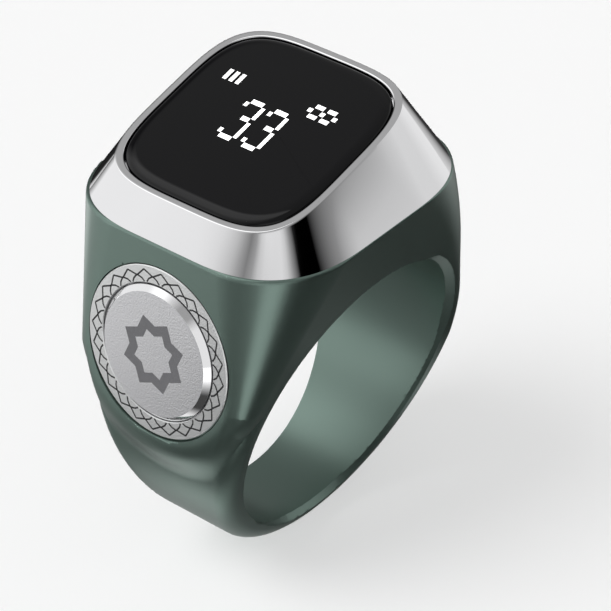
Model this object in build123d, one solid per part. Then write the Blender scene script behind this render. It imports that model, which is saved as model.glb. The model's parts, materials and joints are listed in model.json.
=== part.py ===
from build123d import *
import os
from math import cos, radians, sin, sqrt, tan

# Finger-ring tally counter. Millimetres, origin at the centre of the finger bore, bore along X,
# +Z up through the display, push button on the -Y side.

# Finger ring
bore_radius = 10.0
bore_roof = 1.5
band_wall = 1.5
band_edge_round = 1.1
band_trim = 0.05
flank_half_width = 5.75
flank_slope = 0.272
rim_chamfer = 0.35

# Head of the ring: leaning button pad and back wall, open tub and the seam that carries the bezel
pad_thickness = 2.45
pad_lean = 10.0
pad_edge_round = 1.5
pad_corner_ease = 0.15
pad_overlap = 0.1
head_foot = 1.0
back_swell = 0.05
tub_depth = 3.1
tub_corner = 3.3
seam_corner = 6.2
seam_round = 0.2
head_wall = 1.25
ledge_width = 0.95
rebate_depth = 0.7
ledge_bridge = 0.4

# Bezel and lens, set out on the tilted plane of the bezel's rim
lens_size = 14.1
lens_corner = 3.8
lens_thickness = 0.9
lens_proud = 0.15
lens_edge_round = 0.35
lens_gap = 0.08
lens_tilt = 13.8
lens_shift = -0.9
rim_width = 0.5
rim_round = 0.12
bezel_inset = 0.02
bezel_front_height = 2.05
bezel_ledge = 0.95
bezel_ledge_thickness = 0.6
spigot_wall = 0.9
spigot_gap = 0.05
gasket_thickness = 0.1

# Display stack behind the lens
adhesive_thickness = 0.1
adhesive_edge_gap = 0.1
oled_gap = 0.9
oled_thickness = 1.0
oled_corner = 0.4
backing_thickness = 0.3
backing_margin = 0.5

# Push button, set out on the plane of the button pad
button_rise = 7.4
surround_radius = 5.75
surround_width = 1.17
surround_thickness = 0.6
surround_proud = 0.05
surround_edge = 0.08
surround_gap = 0.03
surround_glue = 0.08
cap_gap = 0.1
cap_proud = 0.38
cap_bevel_width = 0.35
cap_bevel_height = 0.35
flange_overlap = 0.42
flange_thickness = 0.35
flange_gap = 0.2
stop_gap = 0.05
button_travel = 0.25
overtravel_gap = 0.1
nub_radius = 0.7
nub_gap = 0.02
dome_radius = 1.9
dome_height = 0.35
dome_thickness = 0.08
dome_gap = 0.2

# Flex circuits
flex_thickness = 0.15
flex_bend = 0.3
button_flex_width = 3.0
display_flex_width = 5.0
flex_slot_gap = 0.15
flex_solder_length = 1.2
display_flex_standoff = 0.55

# Electronics tray
carrier_gap = 0.1
carrier_wall = 0.8
carrier_front_wall = 1.6
carrier_bar = 1.4
carrier_back_wall = 0.6
tape_thickness = 0.1
battery_gap = 0.15
battery_swell_gap = 0.2
battery_corner = 0.8
tab_width = 1.2
tab_thickness = 0.12
tab_spacing = 6.0
board_thickness = 0.6
board_gap = 0.25
chip_size = 4.0
chip_height = 0.8
crystal_length = 2.0
crystal_width = 1.6
crystal_height = 0.5
charger_size = 2.0
charger_height = 0.6
passive_length = 1.0
passive_width = 0.5
passive_height = 0.4
passive_pitch = 0.9
passive_count = 5
component_spacing = 0.8

# Charging contacts
pin_head_radius = 0.8
pin_stem_radius = 0.4
pin_spacing = 6.0
pin_fit = 0.02
pin_stem_gap = 0.1

# Vibration motor
motor_radius = 2.9
motor_wall = 0.15
motor_pocket_gap = 0.1
motor_top_gap = 0.1
motor_base_thickness = 0.2
motor_base_gap = 0.03
magnet_inner_radius = 0.9
magnet_outer_radius = 2.2
magnet_thickness = 0.5
motor_shaft_radius = 0.3
shaft_running_gap = 0.03
shaft_end_gap = 0.02
rotor_side_gap = 0.3
rotor_face_gap = 0.15
rotor_hub_radius = 0.65

# Places that follow from the sizes above
lean = radians(pad_lean)
tilt = radians(lens_tilt)
tub_floor = bore_radius + bore_roof
seam_z = tub_floor + tub_depth
band_radius = bore_radius + band_wall
pad_reach = bore_radius + pad_thickness
ledge_z = seam_z - rebate_depth


def half_x(z):
    """Half the width of the ring between its flanks at height z."""
    return flank_half_width + flank_slope * z


def half_y(z):
    """Half the depth of the head between its leaning front and back at height z."""
    return pad_reach - tan(lean) * z


def plate(half_w, half_d, corner, z_low, z_high):
    """Upright rounded plate or prism."""
    outline = RectangleRounded(2 * half_w, 2 * half_d, corner)
    return Pos(0, 0, z_low) * extrude(outline, z_high - z_low)


def disc(radius, z_low, z_high):
    """Round plate about Z."""
    return Pos(0, 0, z_low) * extrude(Circle(radius), z_high - z_low)


def block(x_low, x_high, y_low, y_high, z_low, z_high):
    """Box between two corners."""
    corner = Box(x_high - x_low, y_high - y_low, z_high - z_low, align=Align.MIN)
    return Pos(x_low, y_low, z_low) * corner


def strip(points, thickness, width):
    """Bent strip: points of its middle line in the YZ plane, width along X."""
    outline = trace(FilletPolyline(*points, radius=flex_bend), thickness)
    return Plane.YZ * extrude(outline, width / 2, both=True)


# Button plane: local z points out of the pad, local y runs up the pad
button_y = -half_y(button_rise)
button_plane = Plane(
    origin=(0, button_y, button_rise), x_dir=(1, 0, 0), z_dir=(0, -cos(lean), sin(lean))
)

# The lower edge of a pad is an arc about the button that just crosses both flanks
flank_slope_on_pad = flank_slope * cos(lean)
flank_stretch = sqrt(1 + flank_slope_on_pad**2)
pad_radius = half_x(button_rise) / flank_stretch + pad_overlap
tangent_rise = -pad_radius * flank_slope_on_pad / flank_stretch
tangent_z = button_rise + tangent_rise * cos(lean)
head_low_z = button_rise - pad_radius - head_foot

# The back of the ring swells from the foot of the band up to the plane of the back wall, without a lip
back_blend = (pad_reach * cos(lean) + band_radius * sin(lean)) / (1 + sin(lean))
back_radius = back_blend + back_swell
back_rise = back_radius - band_radius
back_foot_z = back_rise + back_radius * sin(lean)

# Depths of the button stack below the pad
surround_depth = surround_thickness - surround_proud
seat_depth = surround_depth + surround_glue
flange_top_depth = surround_depth + stop_gap
flange_bottom_depth = flange_top_depth + flange_thickness
pocket_depth = flange_bottom_depth + button_travel + overtravel_gap
nub_depth = pocket_depth
dome_top_depth = nub_depth + nub_gap
dome_base_depth = dome_top_depth + dome_height
well_depth = dome_base_depth + flex_thickness
surround_inner = surround_radius - surround_width
cap_radius = surround_inner - cap_gap
flange_radius = surround_inner + flange_overlap
pocket_radius = flange_radius + flange_gap
well_radius = dome_radius + dome_gap

# Tub, rebate and tray
seam_half_x = half_x(seam_z)
seam_half_y = half_y(seam_z)
rebate_half_x = seam_half_x - head_wall
rebate_half_y = seam_half_y - head_wall
rebate_corner = tub_corner + ledge_width
tub_half_x = rebate_half_x - ledge_width
tub_half_y = rebate_half_y - ledge_width
carrier_height = tub_depth - rebate_depth - ledge_bridge
board_z = tub_floor + carrier_height
board_top = board_z + board_thickness
carrier_half_x = tub_half_x - carrier_gap
carrier_half_y = tub_half_y - carrier_gap
motor_pocket_radius = motor_radius + motor_pocket_gap
motor_y = carrier_half_y - carrier_back_wall - motor_pocket_radius
bar_back = motor_y - motor_pocket_radius
bar_front = bar_back - carrier_bar

# Rim plane: local z is the lens normal, local y runs up the slope
lens_half = lens_size / 2
pocket_half = lens_half + lens_gap
rim_half = pocket_half + rim_width
rim_corner = lens_corner + lens_gap + rim_width
window_half = lens_half - bezel_ledge
window_corner = lens_corner - bezel_ledge
rim_z = seam_z + bezel_front_height + rim_half * sin(tilt)
rim_plane = Plane(origin=(0, lens_shift, rim_z), x_dir=(1, 0, 0), z_dir=(0, -sin(tilt), cos(tilt)))

# Heights of the display stack on the rim plane
lens_bottom = lens_proud - lens_thickness
lens_seat = lens_bottom - adhesive_thickness
cavity_top = lens_seat - bezel_ledge_thickness
oled_top = lens_bottom - adhesive_thickness
oled_bottom = oled_top - oled_thickness
oled_half = window_half - oled_gap


def on_rim(y, z):
    """YZ point of the part from a height y up the slope and a height z above the rim plane."""
    return (lens_shift + y * cos(tilt) - z * sin(tilt), rim_z + y * sin(tilt) + z * cos(tilt))


def below_pad(y, depth):
    """YZ point of the part from a height y up the pad and a depth below it."""
    return (
        button_y + y * sin(lean) + depth * cos(lean),
        button_rise + y * cos(lean) - depth * sin(lean),
    )


# Route of the button flex: up behind the pad, then level under the front of the board
flex_depth = dome_base_depth + flex_thickness / 2
flex_level = board_z - flex_thickness / 2
flex_climb = (flex_level - below_pad(0, flex_depth)[1]) / cos(lean)
flex_end_y = -carrier_half_y + flex_solder_length
button_flex_route = [
    below_pad(0, flex_depth),
    below_pad(flex_climb, flex_depth),
    (flex_end_y, flex_level),
]


def head_section(z, corner, inset=0):
    """Level outline of the head at height z."""
    return Pos(0, 0, z) * RectangleRounded(2 * (half_x(z) - inset), 2 * (half_y(z) - inset), corner)


def flank_wedge(extra):
    """Space between the flanks, wider by an extra on each side."""
    low = -2 * band_radius
    outline = Plane.XZ * Polygon(
        (half_x(seam_z) + extra, seam_z),
        (-half_x(seam_z) - extra, seam_z),
        (-half_x(low) - extra, low),
        (half_x(low) + extra, low),
        align=None,
    )
    return extrude(outline, 2 * band_radius, both=True)


def ring_outside():
    """Band and head with a rounded pad, before anything is hollowed out."""
    shoulder_z = seam_z - seam_round
    pad_corner = pad_edge_round + pad_corner_ease
    head = loft(
        [
            head_section(head_low_z, pad_corner),
            head_section(tangent_z, pad_corner),
            head_section(shoulder_z, seam_corner),
            head_section(seam_z, seam_corner - seam_round, seam_round),
        ],
        ruled=True,
    )
    pad_disc = disc(pad_radius, -pad_reach, 0)
    pad_disc = fillet(pad_disc.edges().group_by(Axis.Z)[-1], pad_edge_round)
    above = block(-pad_reach, pad_reach, tangent_rise, 2 * pad_reach, -pad_reach, pad_reach)
    front_form = button_plane * (pad_disc + above) & half_space(-1, head_low_z)
    head = head & (front_form + half_space(1, back_foot_z))
    front_band = round_band(band_radius, 0) & half_space(-1, -2 * band_radius)
    back_band = round_band(back_radius, back_rise) & half_space(1, -2 * band_radius)
    return head + front_band + back_band


def round_band(radius, rise):
    """Solid round between the flanks, with rounded edges."""
    solid = flank_wedge(band_trim) & Pos(0, 0, rise) * Rot(0, 90, 0) * Cylinder(radius, 4 * radius)
    return fillet(solid.edges(), band_edge_round) & flank_wedge(0)


def half_space(side, z_low):
    """Block on the front (-1) or back (1) of the bore's axis, from a height upwards."""
    size = 4 * pad_reach
    return Pos(0, side * size / 2, z_low + size / 2) * Box(size, size, size)


def ring_body():
    """The moulded ring with its bore, tub, button pocket and flex slot."""
    body = ring_outside()
    body -= Rot(0, 90, 0) * Cylinder(bore_radius, 4 * band_radius)
    rim_cutter = bore_rim_cutter()
    body -= rim_cutter + mirror(rim_cutter, Plane.YZ)
    body -= plate(rebate_half_x, rebate_half_y, rebate_corner, ledge_z, seam_z)
    body -= plate(tub_half_x, tub_half_y, tub_corner, tub_floor, seam_z)
    body -= button_plane * (
        disc(surround_radius + surround_gap, -seat_depth, seat_depth)
        + disc(pocket_radius, -pocket_depth, 0)
        + disc(well_radius, -well_depth, 0)
    )
    body -= strip(
        button_flex_route, flex_thickness + 2 * flex_slot_gap, button_flex_width + 2 * flex_slot_gap
    )
    body -= pins(disc(pin_head_radius + pin_fit, 0, tub_floor))
    return body


def bore_rim_cutter():
    """Cutter for the chamfer where the bore meets the +X flank."""
    flank_normal = (1, 0, -flank_slope)
    stretch = sqrt(1 + flank_slope**2)
    ends = []
    for depth, radius in ((-rim_chamfer, bore_radius + 2 * rim_chamfer), (rim_chamfer, bore_radius)):
        centre = (flank_half_width - depth * stretch, 0, 0)
        level = Plane(origin=centre, x_dir=(0, 1, 0), z_dir=flank_normal)
        ends.append(level * Ellipse(radius, radius * stretch))
    return loft(ends, ruled=True)


def pins(one):
    """A solid at each of the two charging contacts."""
    y = (bar_front + bar_back) / 2
    return Pos(-pin_spacing / 2, y, 0) * one + Pos(pin_spacing / 2, y, 0) * one


def bezel():
    """Tapered frame: spigot below, lens pocket and window above."""
    inset_half_x = seam_half_x - bezel_inset
    inset_half_y = seam_half_y - bezel_inset
    spigot_half_x = rebate_half_x - spigot_gap
    spigot_half_y = rebate_half_y - spigot_gap
    spigot_corner = rebate_corner - spigot_gap
    hollow_half_x = spigot_half_x - spigot_wall
    hollow_half_y = spigot_half_y - spigot_wall
    hollow_corner = spigot_corner - spigot_wall
    spigot_foot = ledge_z + gasket_thickness
    base = RectangleRounded(2 * inset_half_x, 2 * inset_half_y, seam_corner - bezel_inset)
    top = RectangleRounded(2 * rim_half, 2 * rim_half, rim_corner)
    frame = loft([Pos(0, 0, seam_z) * base, rim_plane * top], ruled=True)
    frame = fillet(frame.faces().sort_by(Axis.Z)[-1].edges(), rim_round)
    frame += plate(spigot_half_x, spigot_half_y, spigot_corner, spigot_foot, seam_z)
    hollow_low = RectangleRounded(2 * hollow_half_x, 2 * hollow_half_y, hollow_corner)
    hollow_high = RectangleRounded(2 * window_half, 2 * window_half, window_corner)
    frame -= loft(
        [Pos(0, 0, seam_z) * hollow_low, rim_plane.offset(cavity_top) * hollow_high], ruled=True
    )
    frame -= plate(hollow_half_x, hollow_half_y, hollow_corner, spigot_foot, seam_z)
    frame -= rim_plane * plate(window_half, window_half, window_corner, cavity_top, 0)
    frame -= rim_plane * plate(pocket_half, pocket_half, lens_corner + lens_gap, lens_seat, lens_proud)
    return frame


def bezel_gasket():
    """Bonding gasket on the ledge of the ring."""
    outer = plate(
        rebate_half_x - spigot_gap,
        rebate_half_y - spigot_gap,
        rebate_corner - spigot_gap,
        ledge_z,
        ledge_z + gasket_thickness,
    )
    inner = plate(tub_half_x, tub_half_y, tub_corner, ledge_z, seam_z)
    return outer - inner


def cover_lens():
    """Black glass with rounded upper edges."""
    glass = plate(lens_half, lens_half, lens_corner, lens_bottom, lens_proud)
    glass = fillet(glass.faces().sort_by(Axis.Z)[-1].edges(), lens_edge_round)
    return rim_plane * glass


def lens_adhesive():
    """Adhesive frame between lens and bezel ledge."""
    outer_half = lens_half - adhesive_edge_gap
    inner_half = window_half + adhesive_edge_gap
    outer = plate(outer_half, outer_half, lens_corner - adhesive_edge_gap, lens_seat, lens_bottom)
    inner = plate(inner_half, inner_half, window_corner + adhesive_edge_gap, lens_seat, lens_bottom)
    return rim_plane * (outer - inner)


def optical_adhesive():
    """Clear bond between lens and display."""
    return rim_plane * plate(oled_half, oled_half, oled_corner, oled_top, lens_bottom)


def oled_panel():
    """Display glass."""
    return rim_plane * plate(oled_half, oled_half, oled_corner, oled_bottom, oled_top)


def display_backing():
    """Dark foam behind the display."""
    half = oled_half - backing_margin
    return rim_plane * plate(half, half, oled_corner, oled_bottom - backing_thickness, oled_bottom)


# Route of the display flex: out of the display's upper edge, down and onto the board
oled_middle = (oled_top + oled_bottom) / 2
display_flex_turn = on_rim(oled_half + display_flex_standoff, oled_middle)
display_flex_level = board_top + flex_thickness / 2
display_flex_end = display_flex_turn[0] - flex_bend - flex_solder_length


def display_flex():
    """Flex from the upper edge of the display down to the board."""
    route = [
        on_rim(oled_half, oled_middle),
        display_flex_turn,
        (display_flex_turn[0], display_flex_level),
        (display_flex_end, display_flex_level),
    ]
    return strip(route, flex_thickness, display_flex_width)


def battery_pocket(gap):
    """Space in the tray for the cell, drawn in by a gap on each side: x, front y, back y."""
    return (
        carrier_half_x - carrier_wall - gap,
        -carrier_half_y + carrier_front_wall + gap,
        bar_front - gap,
    )


def carrier():
    """Tray with a pocket for the cell, one for the motor and a bar between them."""
    tray = plate(carrier_half_x, carrier_half_y, tub_corner - carrier_gap, tub_floor, board_z)
    x, front, back = battery_pocket(0)
    tray -= block(-x, x, front, back, tub_floor, board_z)
    tray -= Pos(0, motor_y, 0) * disc(motor_pocket_radius, tub_floor, board_z)
    notch = button_flex_width / 2 + flex_slot_gap
    notch_low = board_z - flex_thickness - flex_slot_gap
    tray -= block(-notch, notch, -carrier_half_y, front, notch_low, board_z)
    tray -= pins(disc(pin_stem_radius + pin_stem_gap, tub_floor, board_z))
    return tray


def battery():
    """Pouch cell with rounded edges."""
    x, front, back = battery_pocket(battery_gap)
    low = tub_floor + tape_thickness
    high = board_z - battery_swell_gap
    cell = plate(x, (back - front) / 2, battery_corner, low, high)
    return Pos(0, (front + back) / 2, 0) * cell


def battery_tape():
    """Mounting tape under the cell."""
    x, front, back = battery_pocket(battery_gap)
    return block(-x, x, front, back, tub_floor, tub_floor + tape_thickness)


def battery_tabs():
    """Two flat tabs from the front of the cell up to the board."""
    front = battery_pocket(battery_gap)[1]
    low = tub_floor + tape_thickness
    one = block(-tab_width / 2, tab_width / 2, front - tab_thickness, front, low, board_z)
    return Pos(-tab_spacing / 2, 0, 0) * one + Pos(tab_spacing / 2, 0, 0) * one


def main_board():
    """Circuit board on top of the tray."""
    return plate(tub_half_x - board_gap, tub_half_y - board_gap, tub_corner - board_gap, board_z, board_top)


def chip_place():
    """Centre of the controller on the board, in front of the display flex."""
    return (-chip_size / 2, display_flex_end - component_spacing - chip_size / 2)


def controller_chip():
    """Radio and counter chip."""
    x, y = chip_place()
    low = (x - chip_size / 2, y - chip_size / 2)
    return block(low[0], low[0] + chip_size, low[1], low[1] + chip_size, board_top, board_top + chip_height)


def board_components():
    """Crystal, charger and a row of passives beside the controller."""
    x, y = chip_place()
    left = x + chip_size / 2 + component_spacing
    front = y - chip_size / 2
    crystal = block(
        left, left + crystal_length, front, front + crystal_width, board_top, board_top + crystal_height
    )
    charger_front = front + crystal_width + component_spacing
    charger = block(
        left,
        left + charger_size,
        charger_front,
        charger_front + charger_size,
        board_top,
        board_top + charger_height,
    )
    row_back = front - component_spacing
    passives = [
        block(
            x + i * passive_pitch,
            x + i * passive_pitch + passive_width,
            row_back - passive_length,
            row_back,
            board_top,
            board_top + passive_height,
        )
        for i in range(passive_count)
    ]
    return Compound([crystal, charger, *passives])


def charge_pins():
    """Two contacts, flush with the roof of the finger bore and reaching up to the board."""
    one = disc(pin_head_radius, bore_radius, tub_floor) + disc(pin_stem_radius, tub_floor, board_z)
    return pins(one)


def on_motor(solid):
    """A motor piece, drawn about Z from the motor's underside, in its place."""
    return Pos(0, motor_y, tub_floor + tape_thickness) * solid


motor_height = carrier_height - tape_thickness - motor_top_gap
motor_inside = motor_radius - motor_wall
rotor_low = motor_base_thickness + magnet_thickness + rotor_face_gap
rotor_high = motor_height - motor_wall - rotor_face_gap


def motor_tape():
    """Mounting tape under the motor."""
    return Pos(0, motor_y, 0) * disc(motor_radius, tub_floor, tub_floor + tape_thickness)


def motor_base():
    """Bottom plate of the motor."""
    hole = disc(motor_shaft_radius, 0, motor_base_thickness)
    return on_motor(disc(motor_inside - motor_base_gap, 0, motor_base_thickness) - hole)


def motor_magnet():
    """Ring magnet on the bottom plate."""
    top = motor_base_thickness + magnet_thickness
    ring = disc(magnet_outer_radius, motor_base_thickness, top)
    return on_motor(ring - disc(magnet_inner_radius, motor_base_thickness, top))


def motor_shaft():
    """Fixed spindle of the rotor."""
    return on_motor(disc(motor_shaft_radius, 0, motor_height - motor_wall - shaft_end_gap))


def motor_rotor():
    """Half-disc weight on a round hub."""
    radius = motor_inside - rotor_side_gap
    half = block(-radius, radius, 0, radius, rotor_low, rotor_high)
    weight = disc(radius, rotor_low, rotor_high) & half
    weight += disc(rotor_hub_radius, rotor_low, rotor_high)
    return on_motor(weight - disc(motor_shaft_radius + shaft_running_gap, rotor_low, rotor_high))


def motor_can():
    """Cover of the motor, open below."""
    inside = disc(motor_inside, 0, motor_height - motor_wall)
    return on_motor(disc(motor_radius, 0, motor_height) - inside)


def button_surround():
    """Metal ring round the button."""
    ring = disc(surround_radius, -surround_depth, surround_proud)
    ring -= disc(surround_inner, -surround_depth, surround_proud)
    ring = chamfer(ring.faces().sort_by(Axis.Z)[-1].edges(), surround_edge)
    return button_plane * ring


def surround_adhesive():
    """Adhesive ring under the surround."""
    ring = disc(surround_radius, -seat_depth, -surround_depth)
    return button_plane * (ring - disc(pocket_radius, -seat_depth, -surround_depth))


def button_cap():
    """Push button: bevelled disc, retaining flange and the nub that presses the dome."""
    cap = disc(cap_radius, -flange_top_depth, cap_proud)
    cap = chamfer(cap.edges().group_by(Axis.Z)[-1], cap_bevel_height, cap_bevel_width)
    cap += disc(flange_radius, -flange_bottom_depth, -flange_top_depth)
    cap += disc(nub_radius, -nub_depth, -flange_bottom_depth)
    return button_plane * cap


def snap_dome():
    """Domed steel disc that clicks and returns the button."""
    sphere_radius = (dome_radius**2 + dome_height**2) / (2 * dome_height)
    centre = Pos(0, 0, dome_height - sphere_radius)
    shell = centre * (Sphere(sphere_radius) - Sphere(sphere_radius - dome_thickness))
    shell &= disc(2 * dome_radius, 0, 2 * dome_height)
    return button_plane.offset(-dome_base_depth) * shell


def button_flex():
    """Contact disc under the dome with a tail up to the board."""
    contact = button_plane * disc(dome_radius, -well_depth, -dome_base_depth)
    return contact + strip(button_flex_route, flex_thickness, button_flex_width)


PIECES = (
    ring_body,
    bezel,
    bezel_gasket,
    cover_lens,
    lens_adhesive,
    optical_adhesive,
    oled_panel,
    display_backing,
    display_flex,
    carrier,
    battery,
    battery_tape,
    battery_tabs,
    main_board,
    controller_chip,
    board_components,
    charge_pins,
    motor_tape,
    motor_base,
    motor_magnet,
    motor_shaft,
    motor_rotor,
    motor_can,
    button_surround,
    surround_adhesive,
    button_cap,
    snap_dome,
    button_flex,
)

os.makedirs("parts", exist_ok=True)
for piece in PIECES:
    export_step(piece(), f"parts/{piece.__name__}.step")
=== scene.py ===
import json
import re
from math import cos, pi, radians, sin, tan

import bpy
import numpy as np
from mathutils import Matrix, Vector


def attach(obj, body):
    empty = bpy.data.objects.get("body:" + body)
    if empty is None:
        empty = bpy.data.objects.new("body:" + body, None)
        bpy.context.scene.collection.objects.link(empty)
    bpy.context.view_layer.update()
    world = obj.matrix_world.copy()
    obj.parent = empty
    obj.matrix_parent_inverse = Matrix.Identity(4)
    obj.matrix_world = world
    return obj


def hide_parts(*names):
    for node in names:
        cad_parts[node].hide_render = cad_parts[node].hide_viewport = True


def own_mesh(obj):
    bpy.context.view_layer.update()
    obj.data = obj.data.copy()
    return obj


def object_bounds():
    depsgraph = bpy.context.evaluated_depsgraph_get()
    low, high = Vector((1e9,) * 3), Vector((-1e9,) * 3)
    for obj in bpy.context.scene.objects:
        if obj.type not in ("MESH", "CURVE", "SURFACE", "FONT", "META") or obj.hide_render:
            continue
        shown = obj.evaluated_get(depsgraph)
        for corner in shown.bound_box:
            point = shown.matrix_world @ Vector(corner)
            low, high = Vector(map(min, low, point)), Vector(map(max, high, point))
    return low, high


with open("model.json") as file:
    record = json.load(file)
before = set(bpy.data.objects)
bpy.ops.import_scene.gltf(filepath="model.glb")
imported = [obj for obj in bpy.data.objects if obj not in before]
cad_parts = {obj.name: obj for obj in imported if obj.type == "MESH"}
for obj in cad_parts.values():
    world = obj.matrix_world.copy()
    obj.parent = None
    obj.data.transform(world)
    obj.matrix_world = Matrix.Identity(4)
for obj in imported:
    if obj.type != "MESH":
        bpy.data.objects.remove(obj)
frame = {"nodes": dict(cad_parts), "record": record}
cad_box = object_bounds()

# Looks of the finger-ring tally counter. Sizes are millimetres in the part's frame: bore along X,
# +Z up through the display, push button on the -Y side.
MM = 0.001

# Ring
BORE_RADIUS = 10.0
BAND_RADIUS = 11.5
BAND_EDGE = 1.1
FLANK_HALF = 5.75
FLANK_SLOPE = 0.272
PAD_REACH = 12.45
PAD_LEAN = radians(10.0)
SEAM_Z = 14.6
SEAM_ROUND = 0.2
SEAM_CORNER = 6.2

# Lip under the button pad: its edge, its fillet, and the depths in the flank between which the fillet grows
LIP_ROUND = 1.5
LIP_FILLET = 1.6
LIP_FADE = (0.1, 1.4)

# Radius of the upright corners level with the button, its growth per millimetre upwards, and at the back
# also its flare with the square of the height
FRONT_CORNER = (2.35, 0.42)
BACK_CORNER = (2.95, 0.2, 0.022)

# Bevel of the bore's right rim by angle about the bore in degrees: 0 at the back, 90 at the top
RIM_BEVEL = (
    (-140, 0), (-110, 0.4), (-80, 0.4), (-66, 0.26), (-12, 0.26), (0, 0.45), (50, 0.45), (60, 0),
)

# Spaces inside the ring
TUB_FLOOR = 11.5
LEDGE_Z = 13.9
HEAD_WALL = 1.25
LEDGE_WIDTH = 0.95
TUB_CORNER = 3.3
SEAT_RADIUS = 5.83
SEAT_DEPTH = 0.63
POCKET_RADIUS = 5.2
POCKET_DEPTH = 1.3
WELL_RADIUS = 2.1
WELL_DEPTH = 1.82
SLOT_HALF_WIDTH = 1.65
SLOT_HALF_GAP = 0.225
SLOT_DEPTH = 1.745
SLOT_LEVEL = 13.425
SLOT_END_Y = -6.376
PIN_RADIUS = 0.82
PIN_SPACING = 6.0
PIN_Y = 0.276

# Mesh of the ring: cell, room round the ring, halvings that find where an edge is crossed, pull of a point
# to its cell's middle, reach of the steps that read a slope, least length of a normal, and how far a
# face's corners are drawn in where their normals are read
RING_STEP = 0.18
RING_ROOM = 3 * RING_STEP
CROSSING_HALVINGS = 12
MIDDLE_PULL = 0.03
SLOPE_REACH = 1e-3
LEAST_LENGTH = 1e-12
CORNER_DRAW = 0.2

# Bezel: rounded edges are stepped at angles, the wall at shares of its height
BEZEL_INSET = 0.02
BEZEL_CORNER = 7.4
BEZEL_POWER = 2.5
SPIGOT_GAP = 0.05
SPIGOT_WALL = 0.9
SPIGOT_FOOT = 14.0
RIM_WIDTH = 0.5
RIM_EDGE = 0.1
RIM_Z = 18.47
RIM_TURN = np.linspace(pi / 4, pi / 2, 4)
LIP_TURN = np.linspace(0, pi / 2, 5)
WALL_SHARES = (0.01, 0.03, 0.2, 0.4, 0.6, 0.8, 0.97)
WINDOW_HALF = 6.1
CAVITY_TOP = -1.45

# Lens, its heights measured from the rim plane
LENS_HALF = 7.05
LENS_POWER = 4.0
LENS_GAP = 0.08
LENS_PROUD = 0.15
LENS_BOTTOM = -0.75
LENS_SEAT = -0.85
LENS_EDGE_WIDTH = 0.75
LENS_EDGE_DROP = 0.35
LENS_TILT = radians(13.8)
LENS_SHIFT = -0.9
LENS_TURN = np.linspace(0, pi / 2, 10)

# Lit parts of the display: pictures placed by their upper left corners, with the room left round a lit
# run, and bars placed by two corners of the first
PIXEL_PITCH = (0.32, 0.36)
DIGIT = (".XXX.", "X...X", "....X", "....X", "..XX.", "....X", "....X", "....X", "X...X", ".XXX.")
DIGIT_CORNER = (-2.09, 1.77)
DIGIT_INSET = (0.025, 0)
DIGIT_ADVANCE = 6
LINKS = (".XX.XX.", "X..X..X", ".XX.XX.")
LINKS_CORNER = (1.9, 3.36)
LINKS_PITCH = (0.32, 0.44)
LINKS_INSET = (0, 0.06)
BARS = 3
BAR_LOW = (-4.89, 2.33)
BAR_HIGH = (-4.60, 3.23)
BAR_PITCH = 0.52

# Inlays reach below the surface that carries them and stand a trace above it
INLAY_SINK = 0.03
INLAY_RISE = 0.004

# Push button, its heights measured from the pad. A tip is the small flat where a profile ends at the axis.
BUTTON_RISE = 7.4
SURROUND_RADIUS = 5.75
SURROUND_INNER = 4.58
SURROUND_PROUD = 0.05
SURROUND_DEPTH = 0.55
SURROUND_EDGE = 0.06
CAP_RADIUS = 4.48
CAP_PROUD = 0.38
CAP_BEVEL_WIDTH = 0.35
CAP_BEVEL_DROP = 0.35
CAP_TIP = 0.02
FLANGE_TOP = -0.6
FLANGE_BOTTOM = -0.95
FLANGE_RADIUS = 5.0
NUB_RADIUS = 0.7
NUB_BOTTOM = -1.3
STAR_POINTS = 8
STAR_RADIUS = 2.6
STAR_HOLE = 0.64
DOME_RADIUS = 1.9
DOME_HEIGHT = 0.35
DOME_BASE = -1.67
DOME_THICKNESS = 0.08
DOME_TIP = 0.05
DOME_LOOPS = 16
DOME_INSIDE = 0.97

# Engraved petals: a side runs through points of (share of the spacing from the petal's middle, share of
# the height)
PETALS = 24
PETAL_HEIGHT = 0.9
PETAL_SIDE = ((0, 1), (0.2, 0.8), (0.42, 0.6), (0.57, 0.52), (0.77, 0.35), (0.92, 0.1))
PETAL_LINE = 0.11

# Points round an outline, along the arc of its corner and round a turned piece
OUTLINE_POINTS = 288
ARC_POINTS = 600
TURNED_POINTS = 240

# Angles in degrees above which edges stay sharp
SHARP_ANGLE = 28
CAP_SHARP_ANGLE = 8
DOME_SHARP_ANGLE = 40

# Scale and detail of the noise in the materials
MOTTLE_SCALE = 260
MOTTLE_DETAIL = 4
GRAIN_DETAIL = 2

# Floor, and tent brightness by azimuth in degrees from the front (-Y) towards +X: on its roof, its wall,
# the low part of the wall, and its floor from the middle outwards
FLOOR_Z = -BAND_RADIUS
FLOOR_HALF = 4000.0
TENT_ROOF = ((-180, 0.44), (-106, 0.44), (-94, 1.5), (-50, 1.5), (-25, 0.8), (0, 0.4), (180, 0.44))
TENT_WALL = (
    (-180, 0.3), (-165, 0.3), (-138, 0.35), (-115, 0.1), (-100, 0.1), (-88, 1.0), (-40, 1.0), (-27, 0.84),
    (-23, 0.76), (-15, 0.6), (-8, 0.41), (0, 0.24), (8, 0.38), (15, 0.73), (23, 0.9), (31, 0.94),
    (47, 0.94), (54, 0.75), (62, 0.31), (70, 0.0), (92, 0.0), (112, 0.3), (124, 0.66), (133, 0.8),
    (146, 0.8), (160, 0.92), (172, 0.95), (180, 0.3),
)
TENT_SKIRT = ((-52, 0.0), (-45, 1.3), (-30, 1.3), (-22, 0.0))
TENT_CORE = (
    (-180, 0.1), (-102, 0.22), (-60, 0.25), (-30, 0.5), (10, 0.5), (40, 0.2), (70, 0.1), (180, 0.1),
)
TENT_FRONT = (
    (-180, 0.1), (-102, 0.25), (-55, 0.28), (-42, 0.3), (-32, 0.6), (-15, 1.0), (10, 1.0), (25, 0.6),
    (45, 0.2), (70, 0.1),
)
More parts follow.
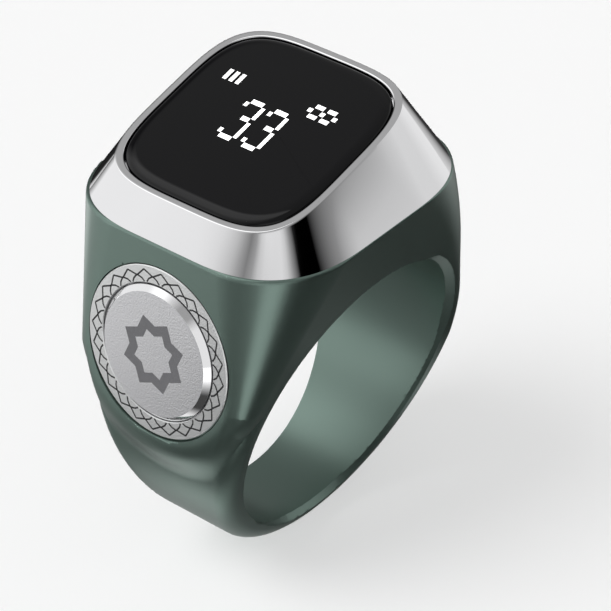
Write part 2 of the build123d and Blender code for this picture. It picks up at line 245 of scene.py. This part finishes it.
TENT_NEAR = (*TENT_FRONT, (126, 0.1), (138, 0.5), (158, 0.5), (170, 0.1), (180, 0.1))
TENT_EDGE = (*TENT_FRONT, (142, 0.1), (150, 0.5), (166, 0.5), (176, 0.1), (180, 0.1))
TENT_MID = (
    (-180, 0.03), (-150, 0.12), (-110, 0.3), (-60, 0.4), (-33, 0.3), (-13, 0.06), (10, 0.06), (60, 0.08),
    (133, 0.1), (160, 0.03), (180, 0.03),
)
TENT_FAR = (
    (-180, 0.53), (-174, 0.31), (-168, 0.04), (-120, 0.01), (-104, 0.02), (-97, 1.5), (-86, 1.5),
    (-78, 0.7), (-60, 0.72), (-36, 0.8), (-25, 0.45), (-12, 0.2), (25, 0.15), (31, 1.45), (50, 1.45),
    (56, 0.02), (140, 0.02), (158, 0.7), (170, 0.8), (180, 0.53),
)
TENT_HOLE = 0.01
TENT_RADIUS = 150.0
TENT_HEIGHT = 170.0
TENT_LIFT = 0.05
TENT_LEVELS = (60.0, 74.0, 115.0)
TENT_RINGS = (
    (TENT_HOLE, TENT_CORE), (10.0, TENT_CORE), (13.5, TENT_NEAR), (15.0, TENT_EDGE), (19.5, TENT_MID),
    (29.0, TENT_MID), (54.0, TENT_FAR), (TENT_RADIUS, TENT_FAR),
)
WORLD_STRENGTH = 0.22

# Camera fitted to the photograph, its near and far limits in metres
CAMERA_AZIMUTH = radians(42.195)
CAMERA_ELEVATION = radians(36.336)
CAMERA_ROLL = radians(-2.954)
CAMERA_DISTANCE = 192.573
CAMERA_OFFSET = (1.5667, 3.5732)
CAMERA_LIMITS = (0.01, 20.0)
SENSOR_WIDTH = 36.0
FOCAL_PIXELS = 2956.15
IMAGE_PIXELS = 611

lean_sin, lean_cos = sin(PAD_LEAN), cos(PAD_LEAN)
tilt_sin, tilt_cos = sin(LENS_TILT), cos(LENS_TILT)
button_y = tan(PAD_LEAN) * BUTTON_RISE - PAD_REACH
seam_half_x = FLANK_HALF + FLANK_SLOPE * SEAM_Z
seam_half_y = PAD_REACH - tan(PAD_LEAN) * SEAM_Z
rebate_x, rebate_y = seam_half_x - HEAD_WALL, seam_half_y - HEAD_WALL
rebate_corner = TUB_CORNER + LEDGE_WIDTH
lens_hole_half = LENS_HALF + LENS_GAP
rim_half = lens_hole_half + RIM_WIDTH
back_radius = (PAD_REACH * lean_cos + BAND_RADIUS * lean_sin) / (1 + lean_sin)
back_rise = back_radius - BAND_RADIUS


def on_pad(points, height):
    """Points drawn on the side pad (across, up the pad) at a height above it."""
    across, up = np.asarray(points, float).T
    return np.stack(
        [
            across,
            button_y + up * lean_sin - height * lean_cos,
            BUTTON_RISE + up * lean_cos + height * lean_sin,
        ],
        -1,
    )


def on_rim(points, height):
    """Points drawn on the rim plane (across, up the slope) at a height above it."""
    across, up = np.asarray(points, float).T
    return np.stack(
        [
            across,
            LENS_SHIFT + up * tilt_cos - height * tilt_sin,
            RIM_Z + up * tilt_sin + height * tilt_cos,
        ],
        -1,
    )


def level(points, z):
    """Plan points at a height."""
    return np.column_stack([points, np.full(len(points), z)])


def polar(radius, angle):
    """Plan points at distances and angles from the middle."""
    return np.stack([radius * np.cos(angle), radius * np.sin(angle)], -1)


# Ring body: a distance function, then a mesh of its zero level


def rounded_max(a, b, radius):
    """Overlap of two forms, its edge rounded."""
    corner = np.hypot(np.maximum(a + radius, 0), np.maximum(b + radius, 0))
    return np.minimum(np.maximum(a, b), -radius) + corner


def rounded_min(a, b, radius):
    """Sum of two forms, its inside corner filleted."""
    return -rounded_max(-a, -b, radius)


def chamfered_max(a, b, leg):
    """Overlap of two forms, its edge cut off flat."""
    return np.maximum.reduce([a, b, (a + b + leg) / np.sqrt(2)])


def plan_distance(x, y, half_x, half_y, corner):
    """Distance in plan to a rounded rectangle."""
    return rounded_max(np.abs(x) - half_x, np.abs(y) - half_y, corner)


def pad_axes(y, z):
    """Heights of points up and out of the front pad."""
    away = y - button_y
    rise = z - BUTTON_RISE
    return away * lean_sin + rise * lean_cos, rise * lean_sin - away * lean_cos


def front_distance(x, y, z, flank):
    """Front half: a plain band and a leaning pad with a round foot, its corners growing upwards."""
    across = np.abs(x)
    up, out = pad_axes(y, z)
    slope = FLANK_SLOPE * lean_cos
    stretch = np.hypot(1, slope)
    half = (FLANK_HALF + FLANK_SLOPE * (BUTTON_RISE + lean_sin * out)) / stretch
    straight = (across - slope * up) / stretch
    edge = np.where(slope * across + up > 0, straight, np.hypot(across, up)) - half
    at_button, growth = FRONT_CORNER
    corner = np.clip(at_button + growth * up, LIP_ROUND, SEAM_CORNER)
    pad = rounded_max(out, edge, corner)
    band = rounded_max(np.hypot(y, z) - BAND_RADIUS, flank, BAND_EDGE)
    start, full = LIP_FADE
    fade = np.clip((-flank - start) / (full - start), 0, 1)
    return rounded_min(pad, band, LIP_FILLET * fade * fade * (3 - 2 * fade))


def back_distance(y, z, flank):
    """Back half: a round that swells from the foot of the band and runs out into a leaning wall."""
    rise = z - back_rise
    wall = y * lean_cos + rise * lean_sin
    form = np.where(rise * lean_cos > y * lean_sin, wall, np.hypot(y, rise)) - back_radius
    up = pad_axes(-y, z)[0]
    at_button, growth, flare = BACK_CORNER
    corner = at_button + growth * up + flare * np.maximum(up, 0) ** 2
    corner = np.clip(corner, BAND_EDGE, SEAM_CORNER)
    return rounded_max(form, flank, corner)


def hollow_distance(x, y, z):
    """Everything that is taken out of the ring besides the bore."""
    tub_x, tub_y = rebate_x - LEDGE_WIDTH, rebate_y - LEDGE_WIDTH
    rebate = np.maximum(plan_distance(x, y, rebate_x, rebate_y, rebate_corner), LEDGE_Z - z)
    tub = np.maximum(plan_distance(x, y, tub_x, tub_y, TUB_CORNER), TUB_FLOOR - z)
    up, out = pad_axes(y, z)
    reach = np.hypot(x, up)
    seat = np.maximum(reach - SEAT_RADIUS, -SEAT_DEPTH - out)
    pocket = np.maximum(reach - POCKET_RADIUS, -POCKET_DEPTH - out)
    well = np.maximum(reach - WELL_RADIUS, -WELL_DEPTH - out)
    climb = np.maximum(np.abs(out + SLOT_DEPTH) - SLOT_HALF_GAP, -up)
    shelf = np.maximum(np.abs(z - SLOT_LEVEL) - SLOT_HALF_GAP, y - SLOT_END_Y)
    shelf = np.maximum(shelf, out + SLOT_DEPTH - SLOT_HALF_GAP)
    slot = np.minimum(np.maximum(climb, z - SLOT_LEVEL - SLOT_HALF_GAP), shelf)
    slot = np.maximum(slot, np.abs(x) - SLOT_HALF_WIDTH)
    pins = np.maximum(np.hypot(np.abs(x) - PIN_SPACING / 2, y - PIN_Y) - PIN_RADIUS, -z)
    return np.minimum.reduce([rebate, tub, seat, pocket, well, slot, pins])


def ring_distance(points):
    """Signed distance to the ring's surface, negative inside."""
    x, y, z = np.moveaxis(points, -1, 0)
    flank = (np.abs(x) - FLANK_HALF - FLANK_SLOPE * z) / np.hypot(1, FLANK_SLOPE)
    body = np.where(y < 0, front_distance(x, y, z, flank), back_distance(y, z, flank))
    body = rounded_max(body, z - SEAM_Z, SEAM_ROUND)
    bevel = np.interp(np.degrees(np.arctan2(z, y)), *np.array(RIM_BEVEL).T)
    body = chamfered_max(body, BORE_RADIUS - np.hypot(y, z), np.where(x > 0, bevel, 0))
    return np.maximum(body, -hollow_distance(x, y, z))


def slope_of(distance, points):
    """Unit normals of a distance function at points."""
    steps = np.eye(3) * SLOPE_REACH
    normals = np.stack([distance(points + s) - distance(points - s) for s in steps], -1)
    return normals / np.maximum(np.linalg.norm(normals, axis=-1, keepdims=True), LEAST_LENGTH)


def contour(distance, low, high, step):
    """Quads of the zero level of a distance function, one point per crossed cell, edges kept sharp."""
    axes = [np.arange(a, b + step, step) for a, b in zip(low, high)]
    grid = np.stack(np.meshgrid(*axes, indexing="ij"), -1)
    inside = distance(grid) < 0
    shape = np.array(inside.shape)
    unit = np.eye(3, dtype=int)
    spread, pull, middle, count = (np.zeros((shape.prod(), n)) for n in (9, 3, 3, 1))
    quads = []
    for axis in range(3):
        start = np.argwhere(inside != np.roll(inside, -1, axis))
        start = start[(start > 0).all(1) & (start < shape - 2).all(1)]
        near, far = grid[tuple(start.T)], grid[tuple((start + unit[axis]).T)]
        leaving = inside[tuple(start.T)]
        for _ in range(CROSSING_HALVINGS):
            half = (near + far) / 2
            keep = ((distance(half) < 0) == leaving)[:, None]
            near, far = np.where(keep, half, near), np.where(keep, far, half)
        point = (near + far) / 2
        normal = slope_of(distance, point)
        side, other = unit[(axis + 1) % 3], unit[(axis + 2) % 3]
        offsets = (0 * side, side, side + other, other)
        cells = [np.ravel_multi_index(tuple((start - o).T), shape) for o in offsets]
        for cell in cells:
            np.add.at(spread, cell, (normal[:, :, None] * normal[:, None, :]).reshape(-1, 9))
            np.add.at(pull, cell, normal * (normal * point).sum(1, keepdims=True))
            np.add.at(middle, cell, point)
            np.add.at(count, cell, 1)
        quad = np.stack(cells, -1)
        quads.append(np.where(leaving[:, None], quad, quad[:, ::-1]))
    used, quads = np.unique(np.concatenate(quads), return_inverse=True)
    centre = middle[used] / count[used]
    matrix = spread[used].reshape(-1, 3, 3)
    rest = pull[used] - (matrix @ centre[:, :, None])[:, :, 0]
    matrix = matrix + MIDDLE_PULL * count[used][:, :, None] * np.eye(3)
    shift = np.linalg.solve(matrix, rest[:, :, None])[:, :, 0]
    return centre + np.clip(shift, -step, step), quads.reshape(-1, 4)


def new_piece(name, points, faces, material, body):
    """A mesh piece from points in millimetres, riding on a body of the part."""
    mesh = bpy.data.meshes.new(name)
    mesh.from_pydata((np.asarray(points) * MM).tolist(), [], [list(f) for f in faces])
    mesh.materials.append(material)
    mesh.polygons.foreach_set("use_smooth", [True] * len(mesh.polygons))
    piece = bpy.data.objects.new(name, mesh)
    bpy.context.scene.collection.objects.link(piece)
    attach(piece, body)
    return piece


def crisp(piece, degrees=SHARP_ANGLE):
    """Keeps edges sharper than an angle."""
    piece.data.set_sharp_from_angle(angle=radians(degrees))
    return piece


def make_ring(material):
    """Ring with normals read from its distance function, held inside the solid's box."""
    low = np.array([-seam_half_x, -PAD_REACH, -BAND_RADIUS]) - RING_ROOM
    high = np.array([seam_half_x, PAD_REACH, SEAM_Z]) + RING_ROOM
    points, quads = contour(ring_distance, low, high, RING_STEP)
    points = np.clip(points, *(np.array(cad_box) / MM))
    piece = new_piece("ring_shell", points, quads.tolist(), material, "ring")
    corners = points[quads]
    inward = corners + CORNER_DRAW * (corners.mean(1, keepdims=True) - corners)
    normals = slope_of(ring_distance, inward.reshape(-1, 3))
    piece.data.normals_split_custom_set(normals.tolist())
    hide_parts("ring_body")


# Lofted, turned and flat pieces


def outline(half_x, half_y, corner, power=2.0):
    """Closed outline, evenly spaced: a rectangle with superelliptic corners."""
    turn = np.linspace(0, pi / 2, ARC_POINTS)
    arc_x = half_x - corner + corner * np.clip(np.cos(turn), 0, 1) ** (2 / power)
    arc_y = half_y - corner + corner * np.clip(np.sin(turn), 0, 1) ** (2 / power)
    x = np.concatenate([[half_x], arc_x, -arc_x[::-1], -arc_x, arc_x[::-1], [half_x]])
    y = np.concatenate([[0], arc_y, arc_y[::-1], -arc_y, -arc_y[::-1], [0]])
    run = np.concatenate([[0], np.cumsum(np.hypot(np.diff(x), np.diff(y)))])
    at = np.linspace(0, run[-1], OUTLINE_POINTS, endpoint=False)
    return np.stack([np.interp(at, run, x), np.interp(at, run, y)], -1)


def squircle(half):
    """Outline of the lens and everything that follows it."""
    return outline(half, half, half, LENS_POWER)


def inside_rebate(gap):
    """Outline that keeps a gap to the rebate in the ring's head."""
    return outline(rebate_x - gap, rebate_y - gap, rebate_corner - gap)


def loft(loops, closed=False):
    """Points and quads between loops of equal length; open lofts are capped at both ends."""
    count = len(loops[0])
    ring = np.arange(count)
    after = (ring + 1) % count
    pairs = [(i, i + 1) for i in range(len(loops) - 1)]
    if closed:
        pairs.append((len(loops) - 1, 0))
    faces = []
    for a, b in pairs:
        corners = [a * count + ring, a * count + after, b * count + after, b * count + ring]
        faces += np.stack(corners, -1).tolist()
    if not closed:
        faces.append(ring[::-1].tolist())
        faces.append((ring + (len(loops) - 1) * count).tolist())
    return np.concatenate(loops), faces


def turned(profile, closed=False):
    """Loft of a profile of (radius, height) about the button's axis."""
    angle = np.linspace(0, 2 * pi, TURNED_POINTS, endpoint=False)
    return loft([on_pad(polar(radius, angle), height) for radius, height in profile], closed)


def make_inlay(name, polygons, place, proud, material, body):
    """Thin forms let into a surface, drawn as polygons that a function places at a height."""
    points, faces = [], []
    for polygon in polygons:
        first, n = len(points), len(polygon)
        points += list(place(polygon, proud + INLAY_RISE)) + list(place(polygon, proud - INLAY_SINK))
        faces.append([first + i for i in range(n)])
        for i in range(n):
            j = (i + 1) % n
            faces.append([first + j, first + i, first + n + i, first + n + j])
    crisp(new_piece(name, points, faces, material, body))


def make_bezel(material):
    """Tapered frame with a rounded rim, the lens's seat, a window and a spigot."""
    spigot = inside_rebate(SPIGOT_GAP)
    hollow = inside_rebate(SPIGOT_GAP + SPIGOT_WALL)
    base = (seam_half_x - BEZEL_INSET, seam_half_y - BEZEL_INSET)
    foot = level(outline(*base, BEZEL_CORNER, BEZEL_POWER), SEAM_Z)
    edge = [
        on_rim(squircle(rim_half - RIM_EDGE * (1 - cos(a))), RIM_EDGE * (sin(a) - 1)) for a in RIM_TURN
    ]
    wall = [foot + (edge[0] - foot) * share for share in WALL_SHARES]
    lip = [
        on_rim(squircle(lens_hole_half + RIM_EDGE * (1 - sin(a))), RIM_EDGE * (cos(a) - 1))
        for a in LIP_TURN
    ]
    window = squircle(WINDOW_HALF)
    loops = [
        level(spigot, SPIGOT_FOOT),
        level(spigot, SEAM_Z),
        foot,
        *wall,
        *edge,
        *lip,
        on_rim(squircle(lens_hole_half), LENS_SEAT),
        on_rim(window, LENS_SEAT),
        on_rim(window, CAVITY_TOP),
        level(hollow, SEAM_Z),
        level(hollow, SPIGOT_FOOT),
    ]
    points, faces = loft(loops, closed=True)
    piece = crisp(new_piece("bezel_shell", points, faces, material, "ring"))
    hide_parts("bezel")


def make_lens(material):
    """Glass with a rounded edge."""
    loops = [on_rim(squircle(LENS_HALF), LENS_BOTTOM)]
    for a in LENS_TURN:
        half = LENS_HALF - LENS_EDGE_WIDTH * (1 - cos(a))
        loops.append(on_rim(squircle(half), LENS_PROUD - LENS_EDGE_DROP * (1 - sin(a))))
    points, faces = loft(loops)
    piece = crisp(new_piece("lens_glass", points, faces, material, "ring"))
    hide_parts("cover_lens")


def box_corners(low, high):
    """Corners of an upright rectangle."""
    return [low, (high[0], low[1]), high, (low[0], high[1])]


def lit_cells(rows, corner, pitch, inset):
    """Rectangles of the lit runs of a pixel picture."""
    left, top = corner
    cells = []
    for r, row in enumerate(rows):
        for run in re.finditer("X+", row):
            low = (left + run.start() * pitch[0] + inset[0], top - (r + 1) * pitch[1] + inset[1])
            high = (left + run.end() * pitch[0] - inset[0], top - r * pitch[1] - inset[1])
            cells.append(box_corners(low, high))
    return cells


def make_display(material):
    """Two digits, a chain of links and a row of bars, lit on the lens."""
    second = (DIGIT_CORNER[0] + DIGIT_ADVANCE * PIXEL_PITCH[0], DIGIT_CORNER[1])
    cells = lit_cells(DIGIT, DIGIT_CORNER, PIXEL_PITCH, DIGIT_INSET)
    cells += lit_cells(DIGIT, second, PIXEL_PITCH, DIGIT_INSET)
    cells += lit_cells(LINKS, LINKS_CORNER, LINKS_PITCH, LINKS_INSET)
    for bar in range(BARS):
        shift = BAR_PITCH * bar
        low, high = (BAR_LOW[0] + shift, BAR_LOW[1]), (BAR_HIGH[0] + shift, BAR_HIGH[1])
        cells.append(box_corners(low, high))
    make_inlay("display_pixels", cells, on_rim, LENS_PROUD, material, "ring")


def petal_lines():
    """Ribbons along both sides of every petal."""
    share, rise = np.array(PETAL_SIDE).T
    reach = SURROUND_INNER + PETAL_HEIGHT * rise
    ribbons = []
    for petal in range(PETALS):
        for side in (-1, 1):
            line = polar(reach, 2 * pi / PETALS * (petal + side * share))
            along = np.gradient(line, axis=0)
            along /= np.linalg.norm(along, axis=1, keepdims=True)
            across = np.stack([-along[:, 1], along[:, 0]], -1) * PETAL_LINE / 2
            ribbon = np.concatenate([line + across, (line - across)[::-1]])
            ribbons.append(ribbon if side > 0 else ribbon[::-1])
    return ribbons


def make_surround(metal, ink):
    """Ring round the button with its engraving."""
    profile = [
        (SURROUND_INNER, -SURROUND_DEPTH),
        (SURROUND_RADIUS, -SURROUND_DEPTH),
        (SURROUND_RADIUS, SURROUND_PROUD - SURROUND_EDGE),
        (SURROUND_RADIUS - SURROUND_EDGE, SURROUND_PROUD),
        (SURROUND_INNER + SURROUND_EDGE, SURROUND_PROUD),
        (SURROUND_INNER, SURROUND_PROUD - SURROUND_EDGE),
    ]
    points, faces = turned(profile, closed=True)
    piece = crisp(new_piece("surround_ring", points, faces, metal, "ring"))
    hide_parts("button_surround")
    make_inlay("petal_engraving", petal_lines(), on_pad, SURROUND_PROUD, ink, "ring")


def star_strips():
    """Strips along the sides of an eight-pointed star."""
    tips = np.arange(2 * STAR_POINTS)
    step = pi / STAR_POINTS
    radius = STAR_RADIUS * np.where(tips % 2 == 0, 1.0, cos(2 * step) / cos(step))
    star = polar(radius, tips * pi / STAR_POINTS + step)
    following = np.roll(star, -1, axis=0)
    return [np.array([a, b, b * STAR_HOLE, a * STAR_HOLE]) for a, b in zip(star, following)]


def make_cap(metal, polish, ink):
    """Push button with a polished bevel, a flange, a nub and an inlaid star."""
    bevel_foot = (CAP_RADIUS, CAP_PROUD - CAP_BEVEL_DROP)
    profile = [
        (CAP_TIP, NUB_BOTTOM),
        (NUB_RADIUS, NUB_BOTTOM),
        (NUB_RADIUS, FLANGE_BOTTOM),
        (FLANGE_RADIUS, FLANGE_BOTTOM),
        (FLANGE_RADIUS, FLANGE_TOP),
        (CAP_RADIUS, FLANGE_TOP),
        bevel_foot,
        (CAP_RADIUS - CAP_BEVEL_WIDTH, CAP_PROUD),
        (CAP_TIP, CAP_PROUD),
    ]
    points, faces = turned(profile)
    piece = new_piece("button_disc", points, faces, metal, "button")
    crisp(piece, CAP_SHARP_ANGLE)
    piece.data.materials.append(polish)
    first = profile.index(bevel_foot) * TURNED_POINTS
    for face in range(first, first + TURNED_POINTS):
        piece.data.polygons[face].material_index = 1
    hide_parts("button_cap")
    make_inlay("star_inlay", star_strips(), on_pad, CAP_PROUD, ink, "button")


def make_dome(material):
    """Shallow snap dome under the button."""
    sphere = (DOME_RADIUS**2 + DOME_HEIGHT**2) / (2 * DOME_HEIGHT)
    radii = np.linspace(DOME_RADIUS, DOME_TIP, DOME_LOOPS)
    upper = [(r, DOME_BASE + np.sqrt(sphere**2 - r**2) - sphere + DOME_HEIGHT) for r in radii]
    lower = [(r * DOME_INSIDE, max(height - DOME_THICKNESS, DOME_BASE)) for r, height in upper[::-1]]
    points, faces = turned(lower + upper)
    piece = new_piece("dome_spring", points, faces, material, "ring")
    crisp(piece, DOME_SHARP_ANGLE)
    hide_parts("snap_dome")
    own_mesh(piece)


# Materials


def node_material(
    name, colour, roughness, metallic=0.0, specular=0.5, tone=0.06, wear=0.04, grain=None
):
    """Principled material with mottled tone, uneven roughness and a fine grain of (scale, depth)."""
    material = bpy.data.materials.new(name)
    material.use_nodes = True
    nodes, links = material.node_tree.nodes, material.node_tree.links
    shader = nodes["Principled BSDF"]
    shader.inputs["Metallic"].default_value = metallic
    shader.inputs["Specular IOR Level"].default_value = specular
    place = nodes.new("ShaderNodeTexCoord")

    def noise(scale, detail):
        node = nodes.new("ShaderNodeTexNoise")
        node.inputs["Scale"].default_value = scale
        node.inputs["Detail"].default_value = detail
        links.new(place.outputs["Object"], node.inputs["Vector"])
        return node.outputs["Fac"]

    mottle = noise(MOTTLE_SCALE, MOTTLE_DETAIL)
    mix = nodes.new("ShaderNodeMix")
    mix.data_type = "RGBA"
    mix.inputs["A"].default_value = (*[c * (1 - tone) for c in colour], 1)
    mix.inputs["B"].default_value = (*[min(1, c * (1 + tone)) for c in colour], 1)
    links.new(mottle, mix.inputs["Factor"])
    links.new(mix.outputs["Result"], shader.inputs["Base Color"])
    spread = nodes.new("ShaderNodeMapRange")
    spread.inputs["To Min"].default_value = max(0, roughness - wear)
    spread.inputs["To Max"].default_value = min(1, roughness + wear)
    links.new(mottle, spread.inputs["Value"])
    links.new(spread.outputs["Result"], shader.inputs["Roughness"])
    if grain:
        scale, depth = grain
        bump = nodes.new("ShaderNodeBump")
        bump.inputs["Strength"].default_value = 1.0
        bump.inputs["Distance"].default_value = depth * MM
        links.new(noise(scale, GRAIN_DETAIL), bump.inputs["Height"])
        links.new(bump.outputs["Normal"], shader.inputs["Normal"])
    return material


def glow_material(name, colour, roughness, strength):
    """Material of lit display pixels."""
    material = node_material(name, colour, roughness)
    shader = material.node_tree.nodes["Principled BSDF"]
    shader.inputs["Emission Color"].default_value = (*colour, 1)
    shader.inputs["Emission Strength"].default_value = strength
    return material


# Colour, roughness and the rest of each slot's finish
FINISHES = {
    "ring_plastic": (
        (0.168, 0.233, 0.205), 0.32, dict(metallic=0.9, specular=0.4, tone=0.03, grain=(2600, 0.0006)),
    ),
    "bezel_chrome": ((0.80, 0.80, 0.81), 0.045, dict(metallic=1.0, tone=0.01, wear=0.015)),
    "gasket_rubber": ((0.02, 0.02, 0.02), 0.8, dict(grain=(3000, 0.004))),
    "lens_glass": ((0.0015, 0.0015, 0.002), 0.06, dict(specular=0.27, tone=0.02, wear=0.01)),
    "black_tape": ((0.02, 0.02, 0.02), 0.7, dict(grain=(2500, 0.003))),
    "clear_bond": ((0.6, 0.62, 0.62), 0.15, {}),
    "display_glass": ((0.02, 0.02, 0.03), 0.1, {}),
    "foam": ((0.03, 0.03, 0.03), 0.9, dict(grain=(1800, 0.02))),
    "flex_film": ((0.55, 0.27, 0.06), 0.35, dict(tone=0.15)),
    "tray_plastic": ((0.04, 0.04, 0.045), 0.5, dict(grain=(2600, 0.002))),
    "cell_foil": ((0.7, 0.7, 0.72), 0.3, dict(metallic=1.0, grain=(700, 0.01))),
    "nickel": ((0.66, 0.64, 0.6), 0.25, dict(metallic=1.0)),
    "board_laminate": ((0.02, 0.13, 0.06), 0.4, dict(tone=0.2)),
    "chip_resin": ((0.03, 0.03, 0.03), 0.6, dict(grain=(4000, 0.002))),
    "ceramic": ((0.35, 0.3, 0.24), 0.5, dict(tone=0.2)),
    "gilt": ((0.85, 0.62, 0.25), 0.2, dict(metallic=1.0)),
    "motor_steel": ((0.62, 0.62, 0.63), 0.3, dict(metallic=1.0, grain=(1500, 0.001))),
    "magnet": ((0.2, 0.2, 0.21), 0.35, dict(metallic=1.0)),
    "rotor_weight": ((0.45, 0.45, 0.47), 0.4, dict(metallic=1.0, grain=(1800, 0.003))),
    "surround_metal": ((0.84, 0.85, 0.85), 0.4, dict(metallic=1.0, grain=(9500, 0.02))),
    "button_metal": ((0.81, 0.81, 0.83), 0.38, dict(metallic=1.0, grain=(9500, 0.022))),
    "dome_steel": ((0.68, 0.67, 0.65), 0.25, dict(metallic=1.0)),
}
finishes = {
    slot: node_material(slot, colour, roughness, **rest)
    for slot, (colour, roughness, rest) in FINISHES.items()
}
bevel_polish = node_material("bevel_polish", (0.8, 0.8, 0.81), 0.08, metallic=1.0, tone=0.01, wear=0.02)
engraving_ink = node_material("engraving_ink", (0.012, 0.012, 0.013), 0.6, grain=(3000, 0.002))
inlay_ink = node_material("inlay_ink", (0.1, 0.1, 0.106), 0.55, grain=(3000, 0.003))
pixel_light = glow_material("pixel_light", (1.0, 1.0, 1.0), roughness=0.4, strength=1.0)

make_ring(finishes["ring_plastic"])
make_bezel(finishes["bezel_chrome"])
make_lens(finishes["lens_glass"])
make_display(pixel_light)
make_surround(finishes["surround_metal"], engraving_ink)
make_cap(finishes["button_metal"], bevel_polish, inlay_ink)
make_dome(finishes["dome_steel"])

for subpart in frame["record"]["subparts"]:
    node = frame["nodes"][subpart["node"]]
    node.data.materials.clear()
    node.data.materials.append(finishes[subpart["material_slot"]])

# Stage: pale floor, a light tent that only reflections see, two suns, even world and the camera


def stage_mesh(name, points, faces, material):
    """A mesh that isn't part of the object."""
    mesh = bpy.data.meshes.new(name)
    mesh.from_pydata([tuple(p) for p in np.asarray(points, float) * MM], [], faces)
    mesh.materials.append(material)
    item = bpy.data.objects.new(name, mesh)
    bpy.context.scene.collection.objects.link(item)
    return item


def tent_material():
    """Light as strong as the mesh's glow says at each point."""
    material = bpy.data.materials.new("tent_cloth")
    material.use_nodes = True
    nodes, links = material.node_tree.nodes, material.node_tree.links
    nodes.clear()
    reading = nodes.new("ShaderNodeAttribute")
    reading.attribute_name = "glow"
    light = nodes.new("ShaderNodeEmission")
    end = nodes.new("ShaderNodeOutputMaterial")
    links.new(reading.outputs["Fac"], light.inputs["Strength"])
    links.new(light.outputs["Emission"], end.inputs["Surface"])
    return material


def make_tent():
    """Closed drum round the ring, lit by azimuth: floor, wall, roof."""
    turn = np.arange(-180, 180)
    around = np.radians(turn)
    circle = np.stack([np.sin(around), -np.cos(around)], -1)
    low = FLOOR_Z + TENT_LIFT

    def shine(stops):
        return np.interp(turn, *np.array(stops).T)

    wall, roof = shine(TENT_WALL), shine(TENT_ROOF)
    skirt = np.maximum(wall, shine(TENT_SKIRT))
    rings = [(radius, low, shine(stops)) for radius, stops in TENT_RINGS]
    heights = (low, *TENT_LEVELS, TENT_HEIGHT)
    rings += [(TENT_RADIUS, z, glow) for z, glow in zip(heights, (skirt, skirt, wall, wall, roof))]
    rings.append((TENT_HOLE, TENT_HEIGHT, roof))
    points, faces = loft([level(circle * radius, z) for radius, z, glow in rings], closed=True)
    tent = stage_mesh("light_tent", points, faces, tent_material())
    attribute = tent.data.attributes.new("glow", "FLOAT", "POINT")
    glows = np.concatenate([glow for radius, z, glow in rings])
    attribute.data.foreach_set("value", glows.astype(np.float32))
    tent.visible_camera = False
    tent.visible_diffuse = False
    tent.visible_transmission = False
    tent.visible_shadow = False


def add_sun(name, strength, spread, towards, shadow):
    """Even lamp from a direction, its spread in degrees, unseen in reflections."""
    sun = bpy.data.lights.new(name, "SUN")
    sun.energy = strength
    sun.angle = radians(spread)
    sun.use_shadow = shadow
    lamp = bpy.data.objects.new(name, sun)
    bpy.context.scene.collection.objects.link(lamp)
    lamp.rotation_euler = Vector(towards).to_track_quat("Z", "Y").to_euler()
    lamp.visible_glossy = False


def add_camera():
    """Camera at the photograph's place, in its frame."""
    flat = cos(CAMERA_ELEVATION)
    back = Vector((sin(CAMERA_AZIMUTH) * flat, -cos(CAMERA_AZIMUTH) * flat, sin(CAMERA_ELEVATION)))
    level_right = Vector((cos(CAMERA_AZIMUTH), sin(CAMERA_AZIMUTH), 0))
    level_up = back.cross(level_right)
    right = cos(CAMERA_ROLL) * level_right + sin(CAMERA_ROLL) * level_up
    up = -sin(CAMERA_ROLL) * level_right + cos(CAMERA_ROLL) * level_up
    eye = back * CAMERA_DISTANCE + right * CAMERA_OFFSET[0] + up * CAMERA_OFFSET[1]
    lens = bpy.data.cameras.new("photo_camera")
    lens.sensor_width = SENSOR_WIDTH
    lens.lens = FOCAL_PIXELS / IMAGE_PIXELS * SENSOR_WIDTH
    lens.clip_start, lens.clip_end = CAMERA_LIMITS
    camera = bpy.data.objects.new("photo_camera", lens)
    bpy.context.scene.collection.objects.link(camera)
    camera.matrix_world = Matrix.Translation(eye * MM) @ Matrix((right, up, back)).transposed().to_4x4()
    bpy.context.scene.camera = camera


floor_paint = node_material("floor_paint", (0.9, 0.9, 0.9), 0.9, specular=0.0, tone=0.002)
floor_corners = box_corners((-FLOOR_HALF, -FLOOR_HALF), (FLOOR_HALF, FLOOR_HALF))
stage_mesh("floor", level(floor_corners, FLOOR_Z), [(0, 1, 2, 3)], floor_paint)
make_tent()
add_sun("key", strength=0.85, spread=36, towards=(-0.33, -0.47, 0.82), shadow=True)
add_sun("fill", strength=2.57, spread=20, towards=(-0.30, -0.60, 0.74), shadow=False)

world = bpy.data.worlds.new("studio")
bpy.context.scene.world = world
world.use_nodes = True
background = world.node_tree.nodes["Background"]
background.inputs["Color"].default_value = (1, 1, 1, 1)
background.inputs["Strength"].default_value = WORLD_STRENGTH

add_camera()
bpy.context.scene.view_settings.view_transform = "Standard"

bpy.context.view_layer.update()
